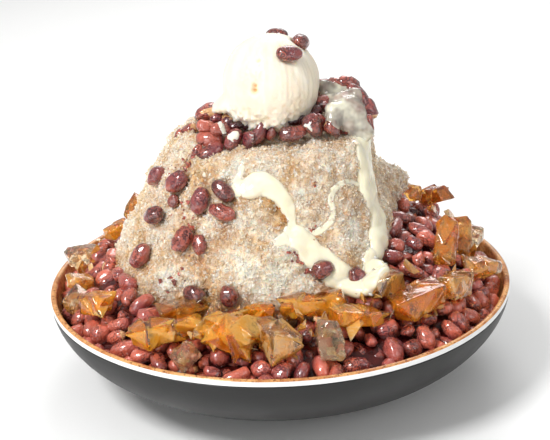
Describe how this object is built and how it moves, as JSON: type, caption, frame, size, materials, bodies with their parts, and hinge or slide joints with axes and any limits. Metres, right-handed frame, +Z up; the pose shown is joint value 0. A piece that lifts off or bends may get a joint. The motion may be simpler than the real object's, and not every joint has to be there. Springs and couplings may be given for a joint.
{
  "type": "bingsu",
  "caption": "Mound of shaved ice in a shallow bowl, ringed with sweet red beans and amber jelly, with condensed milk and a scoop of ice cream on top.",
  "frame": {"origin": "middle of the underside of the bowl's foot, on the surface it stands on", "axes": "+Z up, the shown front faces -Y, +X to the right seen from the front"},
  "size_m": [0.21, 0.21, 0.1576],
  "materials": {
    "bowl": "matte dark grey stoneware outside, a white rim and an orange-tan glaze inside",
    "shaved_ice": "grainy, wet, partly stained tan by syrup",
    "red_bean": "glossy maroon skin, wet with syrup",
    "ice_cream": "smooth cream with torn rough patches",
    "jelly": "clear amber, wet and glossy"
  },
  "bodies": {
    "root": {"bowl": "bowl", "shaved_ice": "shaved_ice", "red_bean_heap": "red_bean", "red_bean_crown": "red_bean", "slope_bean_01": "red_bean", "slope_bean_02": "red_bean", "slope_bean_03": "red_bean", "slope_bean_04": "red_bean", "slope_bean_05": "red_bean", "slope_bean_06": "red_bean", "slope_bean_07": "red_bean", "slope_bean_08": "red_bean", "slope_bean_09": "red_bean", "slope_bean_10": "red_bean", "slope_bean_11": "red_bean", "slope_bean_12": "red_bean", "slope_bean_13": "red_bean", "slope_bean_14": "red_bean", "slope_bean_15": "red_bean", "slope_bean_16": "red_bean", "slope_bean_17": "red_bean", "scoop_bean_01": "red_bean", "scoop_bean_02": "red_bean", "scoop_bean_03": "red_bean", "ice_cream": "ice_cream", "jelly_01": "jelly", "jelly_02": "jelly", "jelly_03": "jelly", "jelly_04": "jelly", "jelly_05": "jelly", "jelly_06": "jelly", "jelly_07": "jelly", "jelly_08": "jelly", "jelly_09": "jelly", "jelly_10": "jelly", "jelly_11": "jelly", "jelly_12": "jelly", "jelly_13": "jelly", "jelly_14": "jelly", "jelly_15": "jelly", "jelly_16": "jelly", "jelly_17": "jelly", "jelly_18": "jelly", "jelly_19": "jelly", "jelly_20": "jelly", "jelly_21": "jelly", "jelly_22": "jelly", "jelly_23": "jelly", "jelly_24": "jelly", "jelly_25": "jelly", "jelly_26": "jelly", "jelly_27": "jelly", "jelly_28": "jelly", "jelly_29": "jelly", "jelly_30": "jelly", "jelly_31": "jelly", "jelly_32": "jelly"}
  },
  "joints": []
}
